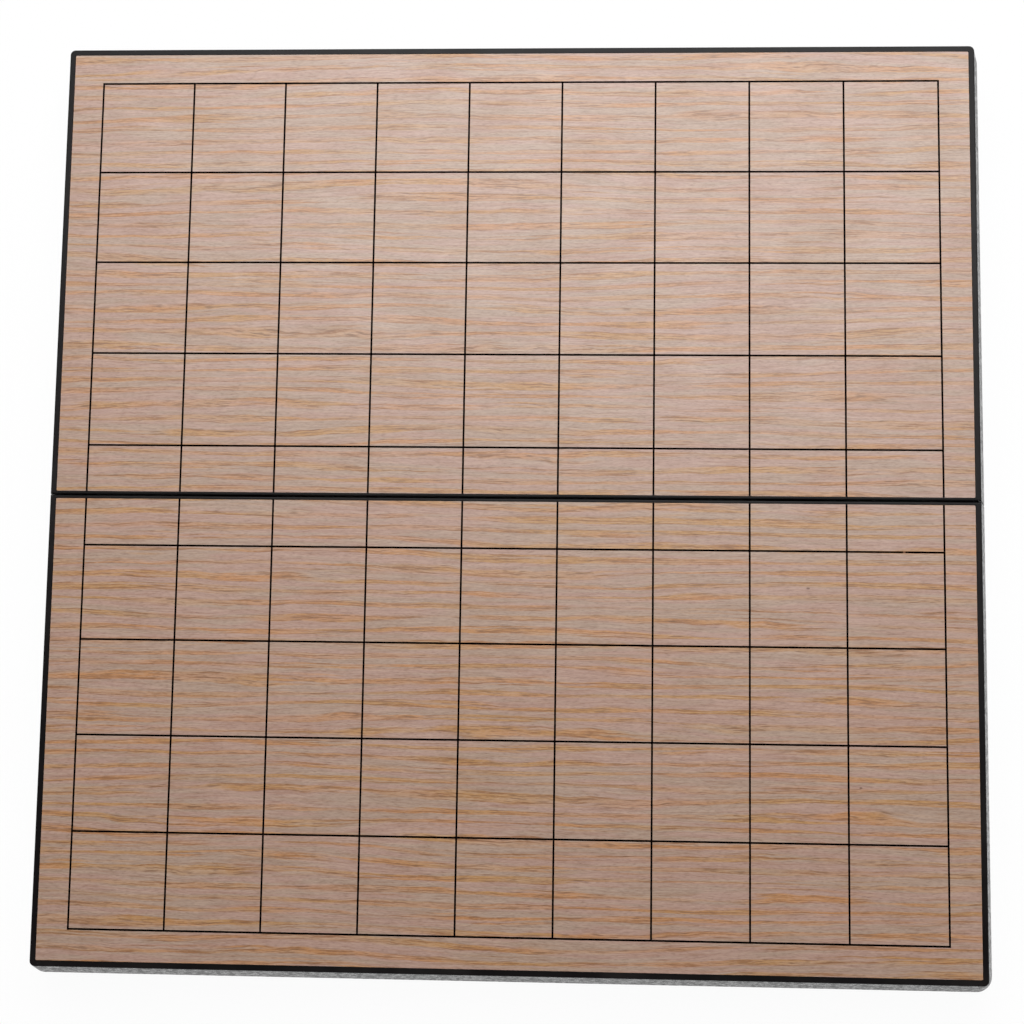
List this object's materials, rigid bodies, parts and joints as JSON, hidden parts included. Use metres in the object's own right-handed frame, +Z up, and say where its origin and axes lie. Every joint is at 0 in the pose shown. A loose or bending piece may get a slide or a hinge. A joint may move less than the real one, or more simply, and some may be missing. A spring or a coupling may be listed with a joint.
{
  "type": "folding shogi board",
  "caption": "Folding magnetic shogi board: two hollow moulded halves hinged along the middle row, with wood-grain printed playing faces over steel plates.",
  "frame": {"origin": "middle of the open board's footprint, on the fold, in the plane that the walls stand on", "axes": "+X along the fold, +Y from the near half to the far half, +Z up out of the playing faces"},
  "size_m": [0.2496, 0.2504, 0.02],
  "materials": {
    "black_abs": "fine textured black moulding",
    "tinned_steel": "plain tinned sheet",
    "printed_film": "printed wood grain with a black grid, satin",
    "pin_steel": "drawn wire"
  },
  "bodies": {
    "far_half": {"far_shell": "black_abs", "far_steel_plate": "tinned_steel", "far_playing_face": "printed_film", "far_left_hinge_pin": "pin_steel", "far_right_hinge_pin": "pin_steel"},
    "hinge_links": {"left_hinge_link": "black_abs", "right_hinge_link": "black_abs"},
    "near_half": {"near_shell": "black_abs", "near_steel_plate": "tinned_steel", "near_playing_face": "printed_film", "near_left_hinge_pin": "pin_steel", "near_right_hinge_pin": "pin_steel"},
    "clasp": {"clasp": "black_abs"}
  },
  "joints": [
    {"name": "link_fold", "type": "hinge", "parent": "far_half", "child": "hinge_links", "pos_m": [0, 0.0022, 0.0021], "axis": [1, 0, 0], "range_deg": [0, 90]},
    {"name": "near_fold", "type": "hinge", "parent": "hinge_links", "child": "near_half", "pos_m": [0, -0.0022, 0.0021], "axis": [1, 0, 0], "range_deg": [0, 90]},
    {"name": "clasp_swing", "type": "hinge", "parent": "far_half", "child": "clasp", "pos_m": [0, 0.1237, 0.0024], "axis": [-1, 0, 0], "range_deg": [0, 180]}
  ]
}
